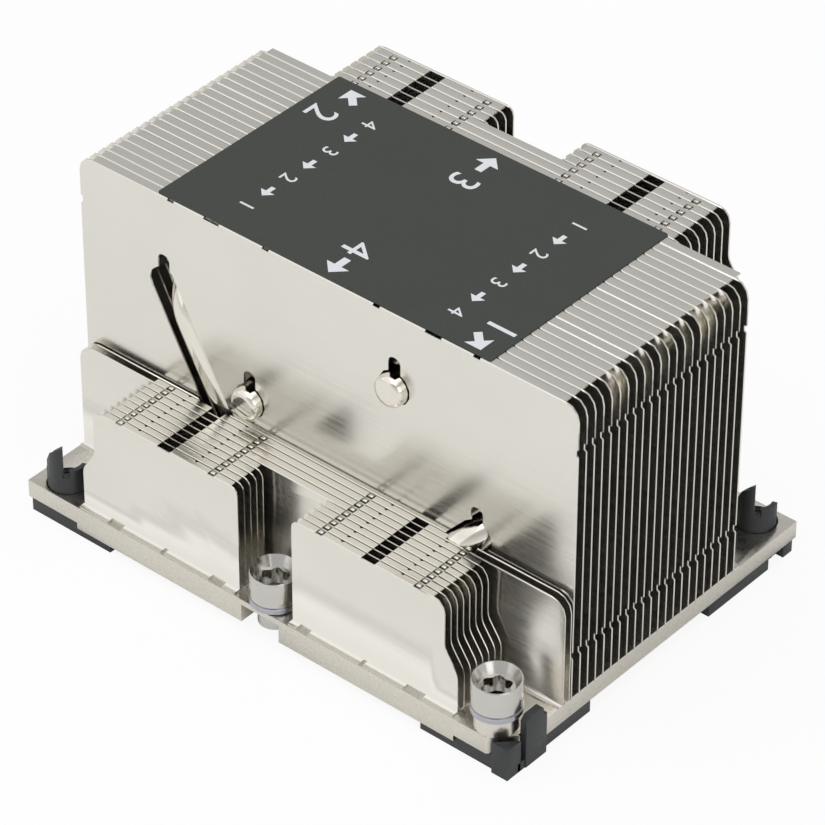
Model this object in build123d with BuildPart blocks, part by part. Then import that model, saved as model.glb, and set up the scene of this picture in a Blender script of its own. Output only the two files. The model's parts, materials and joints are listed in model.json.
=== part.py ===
"""Passive heatsink for a server processor: folded fins and heat pipes on a plate with captive nuts.

Millimetres, +Z up. The origin is under the middle of the part, on the plane that the carrier stands on.
+X runs along the fins, -Y is the side with the low fins.
"""

import os
from math import ceil, cos, degrees, pi, radians, sin, sqrt, tan

from build123d import *

# Base plate
PLATE_LENGTH = 108.0
PLATE_DEPTH = 77.8
PLATE_THICK = 3.5
PLATE_EDGE = 0.4  # left between each latch hole and the plate's edge
WING = 11.5  # thin end of the plate on each side of the thicker middle
ISLAND_DROP = 1.25
PAD_DROP = 0.25  # how far the contact face inside the carrier stands below the island
NUT_CORNER_CHAMFER = 4.6
WELL_CUT_WIDTH = 8.4  # cut from below under each middle nut
WELL_CUT_DEPTH = 7.6
WELL_WEB = 1.1
BOSS_R = 3.8  # under each corner nut
BOSS_HEIGHT = 3.3

# Package carrier under the plate
CARRIER_DROP = 3.0  # from the plate's thin underside down to the ground
CARRIER_INSET = 0.4
ISLAND_GAP = 0.2
SIDE_WALL = 10.0  # carrier's band at each end, inside the setback
LONG_WALL = 5.4
PAD_GAP = 1.0  # between the contact face and the carrier
LONG_BAND = 18.5  # leg of each corner along X
NUT_BAND = 22.0  # leg of the corners under the nuts along Y
LATCH_BAND = 23.8  # leg of the corners with a collar along Y
FRAME_SETBACK = 4.6
FOOT_WIDTH = 2.5
FOOT_GAP = 4.2
FOOT_GAP_DEPTH = 1.6
POST_LEG = 3.4
POST_PROUD = 0.3  # how far the corner posts stand outside the plate
POST_SLOPE = 1.2
BLADE_WIDTH = 4.4
BLADE_THICK = 1.3
BLADE_PROUD = 0.5
BLADE_RISE = 4.0  # above the plate's top
BLADE_FROM_CORNER = 4.2
BLADE_SLANT = 0.9
BLADE_STEP = 0.9
BLADE_STEP_RISE = 2.1
BLADE_CLEARANCE = 0.25
HOOK = 0.8
HOOK_HEIGHT = 1.8
HOOK_WIDTH = 2.6
HOOK_GAP = 0.2  # between the hook and the plate's top
COLLAR_R = 3.7
COLLAR_WALL = 0.9
COLLAR_GAP = 0.2
COLLAR_SUNK = 1.0  # how far the closed ring stays below the plate's top
COLLAR_WALLS = ((200.0, 380.0, 3.3), (240.0, 300.0, 10.3), (320.0, 380.0, 6.3))  # angles and rise
PRONG_TAPER = 3.0
PRONG_TAPER_WIDTH = 1.6

# Captive nuts
NUT_FROM_END = 5.6  # from the plate's end to the corner nuts
NUT_FROM_SIDE = 3.9
NUT_R = 4.35
NUT_HEIGHT = 5.3
NUT_RING_R = 4.5
NUT_RING_HEIGHT = 1.05
NECK_R = 3.0
NECK_LENGTH = 4.4
NUT_BORE_R = 3.75
NUT_BORE_DEPTH = 2.9
STAR_R = 2.75
STAR_WAIST_R = 2.2
STAR_DEPTH = 2.6
STAR_LOBES = 6
STAR_LOBE_ANGLE = 20.0
THREAD_R = 1.65
NUT_GAP = 0.25
NUT_SEAT_GAP = 0.1

# Tall fins
FIN_HEIGHT = 60.0
FIN_THICK = 0.4
FIN_PITCH = 2.075
TALL_FRONT = -22.7
FULL_FINS = 22
REAR_WHOLE_FINS = 3
REAR_SPLIT_FINS = 4
FIN_CORNER_R = 3.0
FOLD_GAP = 0.12  # between a fold's edge and the next fin
FOOT_NOTCH = 16.8  # half width of the notch over the pipes' lower runs
FOOT_NOTCH_HEIGHT = 4.05
FOOT_START = 18.2  # half width that the feet leave free for the leaning risers

# Low fins in front
LOW_HEIGHT = 21.7
LOW_THICK = 0.35
LOW_PITCH = 1.56
LOW_GAP = 0.15  # between the first low fin and the first tall one
LOW_FULL_FINS = 2
LOW_WHOLE_FINS = 3
LOW_SPLIT_FINS = 5
FRONT_FOOT = 1.3  # foot of the foremost fins on the plate
ELBOW_ROOM = 8.8  # opening over the right outer pipe's elbow
ELBOW_SHIFT = 0.8
LEFT_FEET = ((-42.0, -35.4), (-32.3, -23.0), (-22.2, -12.0), (-8.9, -6.0))
RIGHT_FEET = ((6.0, 7.9), (10.4, 21.8), (22.6, 31.3), (35.4, 42.0))

# Ends of the shortened fins
SHORT_TOP = 36.6  # half length of the flat top
SHORT_R = 2.5
FLARE = 2.9  # how much longer each end is below its bend
FLARE_FROM_TOP = 9.6
FLARE_TO_TOP = 13.9
FLARE_R = 3.0
REAR_WELL = 7.4  # half width of the driver wells
FRONT_WELL = 6.0
WELL_R = 1.6

# Openings in the folded tops
WINDOW_X = 24.0
WINDOW_LENGTH = 3.4
LOW_WINDOW_X = 22.7
LOW_WINDOW_LENGTH = 2.9
LOCK_X = (12.0, 33.1)
LOCK_LENGTH = 1.4
LOCK_DEPTH = 1.2

# Heat pipes
PIPE_R = 3.0
PIPE_BEND = 8.0
PIPE_SINK = 2.1  # depth of the grooves in the plate
HOLE_GAP = 0.2
BEND_ROOM = 0.5  # more room inside the bends
SHORTEST_SLOT = 0.6
GROOVE_GAP = 0.1
GROOVE_LONGER = 0.2  # how far each groove runs on past its pipe's end
VENT_WIDTH = 2.6
VENT_FLAT = 0.2
VENT_RISE = 6.0  # from the pipe's centre to the top of its vent
PIPE_PROUD = 2.2
PIPE_END = 0.9
OUTER_LEG_X = 12.8
INNER_LEG_X = 4.5
LEG_REACH = 16.0
LEFT_OUTER = (-35.1, 42.0)  # x, and height above the plate's top
LEFT_INNER = (-16.1, 26.8)
RIGHT_INNER = (15.9, 45.4)
RIGHT_OUTER = (33.6, 23.6)
LEFT_RISER_IN = 2.9  # from the tall fins' front face back to the riser's axis
RIGHT_RISER_IN = 0.2
REAR_RISER_Y = 24.6

# Label
LABEL_LEFT, LABEL_RIGHT = -36.3, 35.6
LABEL_SETBACK = 0.4
LABEL_BACK = 23.4
LABEL_THICK = 0.2
LABEL_R = 1.5

# Coarseness of what repeats
FACET_ANGLE = 30.0  # most that one facet of a rounded corner or bend turns
NUT_SIDES = 12
PIPE_SIDES = 14
SEEN_HOLE_SIDES = 12  # in the fins at the faces, and in the ones between
HIDDEN_HOLE_SIDES = 6
COLLAR_FACET_ANGLE = 20.0
COLLAR_SIDES = 18

plate_z = CARRIER_DROP
top_z = plate_z + PLATE_THICK
island_z = plate_z - ISLAND_DROP
contact_z = island_z - PAD_DROP
leg_z = top_z + PIPE_R - PIPE_SINK
half_x = PLATE_LENGTH / 2
half_y = PLATE_DEPTH / 2
nut_x, nut_y = half_x - NUT_FROM_END, half_y - NUT_FROM_SIDE
island_x = half_x - WING
frame_x, frame_y = half_x - CARRIER_INSET, half_y - CARRIER_INSET
pocket_x, pocket_y = frame_x - FRAME_SETBACK - SIDE_WALL, frame_y - FRAME_SETBACK - LONG_WALL
pad_x, pad_y = pocket_x - PAD_GAP, pocket_y - PAD_GAP
hole_r = PIPE_R + HOLE_GAP
latch_y = half_y - COLLAR_R - COLLAR_GAP - PLATE_EDGE
rear_face_y = TALL_FRONT + (FULL_FINS + REAR_WHOLE_FINS + REAR_SPLIT_FINS - 1) * FIN_PITCH + FIN_THICK
short_foot = SHORT_TOP + SHORT_R + FLARE
nut_corners = ((nut_x, -nut_y), (-nut_x, nut_y))
middle_nuts = ((0, -nut_y), (0, nut_y))
latch_corners = ((-nut_x, -latch_y), (nut_x, latch_y))

os.makedirs("parts", exist_ok=True)


def save(piece, label):
    """Names a finished piece and writes its file."""
    piece.label = label
    export_step(piece, f"parts/{label}.step")


def rounded(corners, radii):
    """Corners of a run with each bend made of a few straight facets."""
    points = []
    for index, (corner, radius) in enumerate(zip(corners, radii)):
        here = Vector(*corner)
        if radius == 0:
            points.append(here)
            continue
        before = (Vector(*corners[index - 1]) - here).normalized()
        after = (Vector(*corners[(index + 1) % len(corners)]) - here).normalized()
        half = radians(before.get_angle(after)) / 2
        centre = here + (before + after).normalized() * (radius / sin(half))
        start = here + before * (radius / tan(half)) - centre
        stop = here + after * (radius / tan(half)) - centre
        turn = pi - 2 * half
        facets = ceil(degrees(turn) / FACET_ANGLE)
        for step in range(facets + 1):
            angle = turn * step / facets
            points.append(centre + (start * sin(turn - angle) + stop * sin(angle)) * (1 / sin(turn)))
    return points


class Pipe:
    """One heat pipe's route: an upper run along Y, a leaning riser and a lower run in the plate."""

    def __init__(self, label, top, leg_x, riser_y, end_y):
        self.label = label
        self.x, self.z = top[0], top_z + top[1]
        self.riser_y = riser_y
        self.end_y = end_y
        self.leg_x = leg_x
        self.way = 1 if end_y > riser_y else -1
        self.length = sqrt((leg_x - self.x) ** 2 + (self.z - leg_z) ** 2)
        self.lean = ((leg_x - self.x) / self.length, (leg_z - self.z) / self.length)

    def bar(self, radius, longer):
        """A round bar along the route, longer at the lower end."""
        start = (self.x, self.end_y, self.z)
        corners = (
            start,
            (self.x, self.riser_y, self.z),
            (self.leg_x, self.riser_y, leg_z),
            (self.leg_x, self.way * (LEG_REACH + longer), leg_z),
        )
        with BuildPart() as bar:
            with BuildLine() as route:
                Polyline(*rounded(corners, (0, PIPE_BEND, PIPE_BEND, 0)))
            with BuildSketch(Plane(origin=start, x_dir=(1, 0, 0), z_dir=(0, -self.way, 0))):
                RegularPolygon(radius, PIPE_SIDES)
            sweep(path=route.wires()[0], transition=Transition.RIGHT)
        return bar.part

    def stretches(self, y, thick, tight=False):
        """Parts of the lean, as lengths from the upper run, that a sheet at y has to let through."""
        near, far = sorted(((y - self.riser_y) * self.way, (y + thick - self.riser_y) * self.way))
        if far < -hole_r:
            return []
        inner = PIPE_BEND - hole_r - BEND_ROOM
        under = inner**2 - (PIPE_BEND - min(near, PIPE_BEND)) ** 2
        if near <= hole_r or under <= 0:
            outer = PIPE_BEND - sqrt((PIPE_BEND + hole_r) ** 2 - (PIPE_BEND - far) ** 2) + hole_r if tight else 0
            return [(outer, self.length - outer)]
        part = PIPE_BEND - sqrt(under) - hole_r
        return [(0, part), (self.length - part, self.length)] if part > SHORTEST_SLOT else [(0, 0)]

    def point(self, along, across):
        """A place in a sheet's plane, from a length down the lean and one across it."""
        return (self.x + self.lean[0] * along - self.lean[1] * across,
                self.z + self.lean[1] * along + self.lean[0] * across)


pipes = (
    Pipe("heat_pipe_left_outer", LEFT_OUTER, -OUTER_LEG_X, TALL_FRONT + LEFT_RISER_IN, rear_face_y + PIPE_PROUD),
    Pipe("heat_pipe_right_outer", RIGHT_OUTER, OUTER_LEG_X, TALL_FRONT + RIGHT_RISER_IN, rear_face_y + PIPE_PROUD),
    Pipe("heat_pipe_left_inner", LEFT_INNER, -INNER_LEG_X, REAR_RISER_Y, TALL_FRONT - PIPE_PROUD),
    Pipe("heat_pipe_right_inner", RIGHT_INNER, INNER_LEG_X, REAR_RISER_Y, TALL_FRONT - PIPE_PROUD),
)


def way(pipe, start, stop, sides):
    """Cuts a hole, or a slot along the lean, with ends of a few straight sides from the current sketch."""
    tip = hole_r / cos(pi / sides)
    corners = []
    for step in range(sides):
        angle = 2 * pi * step / sides
        end = stop if cos(angle) > 0 else start
        corners.append(pipe.point(end + tip * cos(angle), tip * sin(angle)))
    Polygon(*corners, mode=Mode.SUBTRACT)


def vent(pipe):
    """Cuts the narrow notch above a pipe's upper run from the current sketch."""
    half, top = VENT_WIDTH / 2, pipe.z + VENT_RISE
    outline = rounded(
        ((pipe.x - half, pipe.z), (pipe.x + half, pipe.z), (pipe.x + half, top), (pipe.x - half, top)),
        (0, 0, half - VENT_FLAT, half - VENT_FLAT),
    )
    Polygon(*outline, mode=Mode.SUBTRACT)


def block(x_range, y_range, z_range, mode=Mode.ADD):
    """A plain block between limits, such as one fold of a sheet."""
    with BuildSketch(Plane.XY.offset(z_range[0])) as floor:
        with Locations(((x_range[0] + x_range[1]) / 2, (y_range[0] + y_range[1]) / 2)):
            Rectangle(x_range[1] - x_range[0], y_range[1] - y_range[0])
    extrude(floor.sketch, amount=z_range[1] - z_range[0], mode=mode)


def openings(spots, length, y, depth, top, thick):
    """Openings through a folded top, from its bent edge at y back to a depth."""
    with BuildSketch(Plane.XY.offset(top - thick)) as cuts:
        with Locations(*[(x, y + depth / 2) for x in spots]):
            Rectangle(length, depth)
    extrude(cuts.sketch, amount=thick, mode=Mode.SUBTRACT)


def end_corners(side, top):
    """Corners of a shortened fin's end, going up."""
    return [
        (side * short_foot, top_z),
        (side * short_foot, top - FLARE_TO_TOP),
        (side * (short_foot - FLARE), top - FLARE_FROM_TOP),
        (side * (short_foot - FLARE), top),
    ]


END_RADII = [0, FLARE_R, FLARE_R, SHORT_R]


def full_outline(height):
    """Corners and corner radii of a fin as long as the plate."""
    top = top_z + height
    corners = [(half_x, top_z), (half_x, top), (-half_x, top), (-half_x, top_z)]
    return corners, [0, FIN_CORNER_R, FIN_CORNER_R, 0]


def short_outline(height):
    """Corners and corner radii of an undivided shortened fin."""
    top = top_z + height
    return end_corners(1, top) + end_corners(-1, top)[::-1], END_RADII + END_RADII[::-1]


def split_outline(height, side, well):
    """Corners and corner radii of a shortened fin on one side of a driver well."""
    top = top_z + height
    return end_corners(side, top) + [(side * well, top), (side * well, top_z)], END_RADII + [WELL_R, 0]


def sheet(outline, y, thick, notched=False, seen=False):
    """One fin's upright sheet, open for the pipes, with its front face at y."""
    with BuildSketch(Plane.XZ.offset(-y)) as face:
        Polygon(*rounded(*outline))
        if notched:
            with Locations((0, top_z)):
                Rectangle(2 * FOOT_NOTCH, 2 * FOOT_NOTCH_HEIGHT, mode=Mode.SUBTRACT)
        for pipe in pipes:
            stretches = pipe.stretches(y, thick, not notched)
            for start, stop in stretches:
                way(pipe, start, stop, SEEN_HOLE_SIDES if seen else HIDDEN_HOLE_SIDES)
            if seen and stretches:
                vent(pipe)
    extrude(face.sketch, amount=-thick)


def back_fold(x_range, y, thick, pitch, top):
    """A fin's folded top, which reaches back to the next fin."""
    block(x_range, (y, y + pitch - FOLD_GAP), (top - thick, top))


# Tall fins
tall_top = top_z + FIN_HEIGHT
lock_spots = [side * x for side in (-1, 1) for x in LOCK_X]
for index in range(FULL_FINS):
    fin_y = TALL_FRONT + index * FIN_PITCH
    back_y = fin_y + FIN_PITCH - FOLD_GAP
    with BuildPart() as fin:
        sheet(full_outline(FIN_HEIGHT), fin_y, FIN_THICK, notched=True, seen=index == 0)
        back_fold((FIN_CORNER_R - half_x, half_x - FIN_CORNER_R), fin_y, FIN_THICK, FIN_PITCH, tall_top)
        for side in (-1, 1):
            foot = sorted((side * FOOT_START, side * half_x))
            block(foot, (fin_y, back_y), (top_z, top_z + FIN_THICK))
        if index == 0:
            openings((-WINDOW_X, WINDOW_X), WINDOW_LENGTH, fin_y, FIN_PITCH, tall_top, FIN_THICK)
            openings(lock_spots, LOCK_LENGTH, fin_y, LOCK_DEPTH, tall_top, FIN_THICK)
    save(fin.part, f"tall_fin_{index + 1:02d}")

for index in range(REAR_WHOLE_FINS):
    fin_y = TALL_FRONT + (FULL_FINS + index) * FIN_PITCH
    with BuildPart() as fin:
        sheet(short_outline(FIN_HEIGHT), fin_y, FIN_THICK, notched=True)
        back_fold((-SHORT_TOP, SHORT_TOP), fin_y, FIN_THICK, FIN_PITCH, tall_top)
        for side in (-1, 1):
            foot = sorted((side * FOOT_START, side * short_foot))
            block(foot, (fin_y, fin_y + FIN_PITCH - FOLD_GAP), (top_z, top_z + FIN_THICK))
        openings((-WINDOW_X, WINDOW_X), WINDOW_LENGTH, fin_y, FIN_PITCH, tall_top, FIN_THICK)
        openings(lock_spots, LOCK_LENGTH, fin_y, LOCK_DEPTH, tall_top, FIN_THICK)
    save(fin.part, f"rear_fin_{index + 1}")

for side, name in ((-1, "left"), (1, "right")):
    for index in range(REAR_SPLIT_FINS):
        fin_y = TALL_FRONT + (FULL_FINS + REAR_WHOLE_FINS + index) * FIN_PITCH
        last = index == REAR_SPLIT_FINS - 1
        with BuildPart() as fin:
            sheet(split_outline(FIN_HEIGHT, side, REAR_WELL), fin_y, FIN_THICK, seen=last)
            if not last:
                crest = sorted((side * (REAR_WELL + WELL_R), side * SHORT_TOP))
                back_fold(crest, fin_y, FIN_THICK, FIN_PITCH, tall_top)
                foot = sorted((side * REAR_WELL, side * short_foot))
                block(foot, (fin_y, fin_y + FIN_PITCH - FOLD_GAP), (top_z, top_z + FIN_THICK))
                openings([side * WINDOW_X], WINDOW_LENGTH, fin_y, FIN_PITCH, tall_top, FIN_THICK)
                openings([side * x for x in LOCK_X], LOCK_LENGTH, fin_y, LOCK_DEPTH, tall_top, FIN_THICK)
        save(fin.part, f"rear_{name}_fin_{index + 1}")

# Low fins
low_top = top_z + LOW_HEIGHT
low_front = TALL_FRONT - LOW_GAP - LOW_THICK
low_foot = LOW_PITCH - LOW_THICK - FOLD_GAP
for index in range(LOW_FULL_FINS + LOW_WHOLE_FINS):
    fin_y = low_front - index * LOW_PITCH
    full = index < LOW_FULL_FINS
    with BuildPart() as fin:
        sheet(full_outline(LOW_HEIGHT) if full else short_outline(LOW_HEIGHT), fin_y, LOW_THICK)
        if index:
            back_fold((-SHORT_TOP, SHORT_TOP), fin_y, LOW_THICK, LOW_PITCH, low_top)
            openings((-LOW_WINDOW_X, LOW_WINDOW_X), LOW_WINDOW_LENGTH, fin_y, LOW_PITCH, low_top, LOW_THICK)
            openings(lock_spots, LOCK_LENGTH, fin_y, LOCK_DEPTH, low_top, LOW_THICK)
        if index == 1:
            openings([RIGHT_OUTER[0] - ELBOW_SHIFT], ELBOW_ROOM, fin_y + LOW_THICK, LOW_PITCH, low_top, LOW_THICK)
        end = half_x if full else short_foot
        block((-end, end), (fin_y - low_foot, fin_y), (top_z, top_z + LOW_THICK))
    save(fin.part, f"low_fin_{index + 1}")

for side, name, front_feet in ((-1, "left", LEFT_FEET), (1, "right", RIGHT_FEET)):
    for index in range(LOW_SPLIT_FINS):
        fin_y = low_front - (LOW_FULL_FINS + LOW_WHOLE_FINS + index) * LOW_PITCH
        with BuildPart() as fin:
            sheet(split_outline(LOW_HEIGHT, side, FRONT_WELL), fin_y, LOW_THICK)
            crest = sorted((side * (FRONT_WELL + WELL_R), side * SHORT_TOP))
            back_fold(crest, fin_y, LOW_THICK, LOW_PITCH, low_top)
            openings([side * LOW_WINDOW_X], LOW_WINDOW_LENGTH, fin_y, LOW_PITCH, low_top, LOW_THICK)
            openings([side * x for x in LOCK_X], LOCK_LENGTH, fin_y, LOCK_DEPTH, low_top, LOW_THICK)
            if index == LOW_SPLIT_FINS - 1:
                for foot in front_feet:
                    block(foot, (fin_y - FRONT_FOOT, fin_y), (top_z, top_z + LOW_THICK))
            else:
                foot = sorted((side * FRONT_WELL, side * short_foot))
                block(foot, (fin_y - low_foot, fin_y), (top_z, top_z + LOW_THICK))
        save(fin.part, f"low_{name}_fin_{index + 1}")

# Heat pipes
for pipe in pipes:
    with BuildPart() as piece:
        add(pipe.bar(PIPE_R, 0))
        chamfer(piece.edges().filter_by_position(Axis.Y, pipe.end_y - HOLE_GAP, pipe.end_y + HOLE_GAP), PIPE_END)
    save(piece.part, pipe.label)

# Base plate
with BuildPart() as plate:
    with BuildSketch(Plane.XY.offset(plate_z)) as outline:
        Rectangle(PLATE_LENGTH, PLATE_DEPTH)
        corners = outline.vertices()
        at_nuts = [corners.sort_by_distance(place)[0] for place in nut_corners]
        chamfer(at_nuts, NUT_CORNER_CHAMFER)
    extrude(amount=PLATE_THICK)
    block((-island_x, island_x), (-half_y, half_y), (island_z, plate_z))
    block((-pad_x, pad_x), (-pad_y, pad_y), (contact_z, island_z))
    with BuildSketch(Plane.XY.offset(top_z)):
        with Locations(*nut_corners):
            Circle(BOSS_R)
    extrude(amount=BOSS_HEIGHT)
    for side in (-1, 1):
        edge = sorted((side * half_y, side * (half_y - WELL_CUT_DEPTH)))
        block((-WELL_CUT_WIDTH / 2, WELL_CUT_WIDTH / 2), edge, (island_z, top_z - WELL_WEB), Mode.SUBTRACT)
        blade_x = sorted((side * (half_x + BLADE_PROUD - BLADE_THICK - BLADE_CLEARANCE), side * half_x))
        blade_from = half_y - BLADE_FROM_CORNER + BLADE_CLEARANCE
        blade_y = sorted((-side * blade_from, -side * (blade_from - BLADE_WIDTH - BLADE_STEP - 2 * BLADE_CLEARANCE)))
        block(blade_x, blade_y, (plate_z, top_z), Mode.SUBTRACT)
    with BuildSketch(Plane.XY.offset(plate_z)):
        with Locations(*nut_corners, *middle_nuts):
            Circle(NECK_R + NUT_GAP)
        with Locations(*latch_corners):
            Circle(COLLAR_R + COLLAR_GAP)
    extrude(amount=PLATE_THICK + BOSS_HEIGHT, mode=Mode.SUBTRACT)
    for pipe in pipes:
        add(pipe.bar(PIPE_R + GROOVE_GAP, GROOVE_LONGER), mode=Mode.SUBTRACT)
save(plate.part, "base_plate")


# Package carrier
post_x, post_y = half_x + POST_PROUD, half_y + POST_PROUD
wing_x = island_x + ISLAND_GAP
side_from, side_to = -half_y + NUT_BAND, half_y - LATCH_BAND
blade_top = top_z + BLADE_RISE


def arc_wall(centre, start, stop, top):
    """Part of a collar's round wall between two angles, standing on the ground."""
    facets = ceil((stop - start) / COLLAR_FACET_ANGLE)
    angles = [radians(start + (stop - start) * step / facets) for step in range(facets + 1)]
    corners = [(COLLAR_R * cos(angle), COLLAR_R * sin(angle)) for angle in angles]
    inner = COLLAR_R - COLLAR_WALL
    corners += [(inner * cos(angle), inner * sin(angle)) for angle in reversed(angles)]
    with BuildSketch() as wall:
        with Locations(centre):
            Polygon(*corners)
    extrude(wall.sketch, amount=top)


with BuildPart() as carrier:
    with BuildSketch() as frame:
        Rectangle(2 * frame_x, 2 * frame_y)
        Rectangle(2 * pocket_x, 2 * pocket_y, mode=Mode.SUBTRACT)
        with Locations((0, frame_y), (0, -frame_y)):
            Rectangle(2 * (frame_x - LONG_BAND), 2 * FRAME_SETBACK, mode=Mode.SUBTRACT)
    extrude(amount=island_z)
    with BuildSketch(Plane.XY.offset(island_z)) as wings:
        Rectangle(2 * frame_x, 2 * frame_y)
        Rectangle(2 * wing_x, 2 * frame_y, mode=Mode.SUBTRACT)
    extrude(amount=plate_z - island_z)
    for side in (-1, 1):
        recess_x = sorted((side * (frame_x - FRAME_SETBACK), side * frame_x))
        block(recess_x, sorted((side * side_from, side * side_to)), (0, plate_z), Mode.SUBTRACT)
        gap_x = sorted((side * (frame_x - FOOT_GAP_DEPTH), side * frame_x))
        gap_y = sorted((side * (frame_y - FOOT_WIDTH), side * (frame_y - FOOT_WIDTH - FOOT_GAP)))
        block(gap_x, gap_y, (0, plate_z), Mode.SUBTRACT)
        with BuildSketch() as post:
            Polygon((side * post_x, -side * post_y), (side * (post_x - POST_LEG), -side * post_y),
                    (side * post_x, -side * (post_y - POST_LEG)))
        extrude(amount=top_z)
        blade_x = min(side * (half_x + BLADE_PROUD), side * (half_x + BLADE_PROUD - BLADE_THICK))
        blade_y = half_y - BLADE_FROM_CORNER
        with BuildSketch(Plane.YZ.offset(blade_x)) as blade:
            Polygon(
                (-side * blade_y, 0),
                (-side * blade_y, blade_top - BLADE_SLANT),
                (-side * (blade_y - BLADE_SLANT), blade_top),
                (-side * (blade_y - BLADE_WIDTH + BLADE_SLANT / 2), blade_top),
                (-side * (blade_y - BLADE_WIDTH), blade_top - BLADE_SLANT / 2),
                (-side * (blade_y - BLADE_WIDTH), top_z + BLADE_STEP_RISE),
                (-side * (blade_y - BLADE_WIDTH - BLADE_STEP), top_z + BLADE_STEP_RISE),
                (-side * (blade_y - BLADE_WIDTH - BLADE_STEP), 0),
            )
        extrude(amount=BLADE_THICK)
        hook_x = side * (half_x + BLADE_PROUD - BLADE_THICK)
        hook_y = blade_y - BLADE_WIDTH
        block(sorted((hook_x, hook_x - side * HOOK)), sorted((-side * hook_y, -side * (hook_y + HOOK_WIDTH))),
              (top_z + HOOK_GAP, top_z + HOOK_GAP + HOOK_HEIGHT))
    with BuildSketch() as bores:
        with Locations(*latch_corners):
            RegularPolygon(COLLAR_R - COLLAR_WALL, COLLAR_SIDES)
        with Locations(*nut_corners, *middle_nuts):
            RegularPolygon(NECK_R + NUT_GAP, NUT_SIDES)
    extrude(amount=plate_z, mode=Mode.SUBTRACT)
    with BuildSketch() as rings:
        with Locations(*latch_corners):
            RegularPolygon(COLLAR_R, COLLAR_SIDES)
            RegularPolygon(COLLAR_R - COLLAR_WALL, COLLAR_SIDES, mode=Mode.SUBTRACT)
    extrude(amount=top_z - COLLAR_SUNK)
    for centre in latch_corners:
        for start, stop, rise in COLLAR_WALLS:
            arc_wall(centre, start, stop, top_z + rise)
        prong_top = top_z + max(rise for _, _, rise in COLLAR_WALLS)
        with BuildSketch(Plane.XZ.offset(-centre[1] + COLLAR_WALL)) as shoulder:
            left = centre[0] - COLLAR_R
            taper_x = centre[0] + COLLAR_R * cos(radians(COLLAR_WALLS[1][1]))
            Polygon((left, prong_top - PRONG_TAPER), (taper_x, prong_top - PRONG_TAPER),
                    (taper_x + PRONG_TAPER_WIDTH, prong_top), (left, prong_top))
        extrude(amount=COLLAR_R, mode=Mode.SUBTRACT)
save(carrier.part, "package_carrier")

# Captive nuts
nut_seats = (
    ("nut_front_right", nut_corners[0], BOSS_HEIGHT),
    ("nut_rear_left", nut_corners[1], BOSS_HEIGHT),
    ("nut_front_middle", middle_nuts[0], 0),
    ("nut_rear_middle", middle_nuts[1], 0),
)
lobe_step = 360 / STAR_LOBES
star_corners = ((STAR_R, -STAR_LOBE_ANGLE / 2), (STAR_R, STAR_LOBE_ANGLE / 2), (STAR_WAIST_R, lobe_step / 2))
star = [
    (radius * cos(radians(angle + lobe_step * step)), radius * sin(radians(angle + lobe_step * step)))
    for step in range(STAR_LOBES)
    for radius, angle in star_corners
]
for label, place, rise in nut_seats:
    seat = top_z + rise + NUT_SEAT_GAP
    rim = seat + NUT_RING_HEIGHT + NUT_HEIGHT
    sections = (
        (RegularPolygon, (NECK_R, NUT_SIDES), seat - NECK_LENGTH, seat, Mode.ADD),
        (RegularPolygon, (NUT_RING_R, NUT_SIDES), seat, seat + NUT_RING_HEIGHT, Mode.ADD),
        (RegularPolygon, (NUT_R, NUT_SIDES), seat + NUT_RING_HEIGHT, rim, Mode.ADD),
        (RegularPolygon, (NUT_BORE_R, NUT_SIDES), rim - NUT_BORE_DEPTH, rim, Mode.SUBTRACT),
        (Polygon, star, rim - NUT_BORE_DEPTH - STAR_DEPTH, rim - NUT_BORE_DEPTH, Mode.SUBTRACT),
        (Circle, (THREAD_R,), seat - NECK_LENGTH, rim - NUT_BORE_DEPTH, Mode.SUBTRACT),
    )
    with BuildPart() as nut:
        for shape, sizes, low, high, mode in sections:
            with BuildSketch(Plane.XY.offset(low)):
                with Locations(place):
                    shape(*sizes)
            extrude(amount=high - low, mode=mode)
    save(nut.part, label)

# Label
with BuildPart() as label_sheet:
    with BuildSketch(Plane.XY.offset(tall_top)):
        front = TALL_FRONT + LABEL_SETBACK
        corners = ((LABEL_LEFT, front), (LABEL_RIGHT, front), (LABEL_RIGHT, LABEL_BACK), (LABEL_LEFT, LABEL_BACK))
        Polygon(*rounded(corners, [LABEL_R] * len(corners)))
    extrude(amount=LABEL_THICK)
save(label_sheet.part, "label")
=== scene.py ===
"""Looks of a passive server processor heatsink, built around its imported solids.

Everything is in metres and in the frame of the solids: +X along the fins, -Y the side with the low fins.
"""

import json
from math import atan2, cos, degrees, hypot, radians, sin

import bpy
from mathutils import Matrix, Vector

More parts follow.
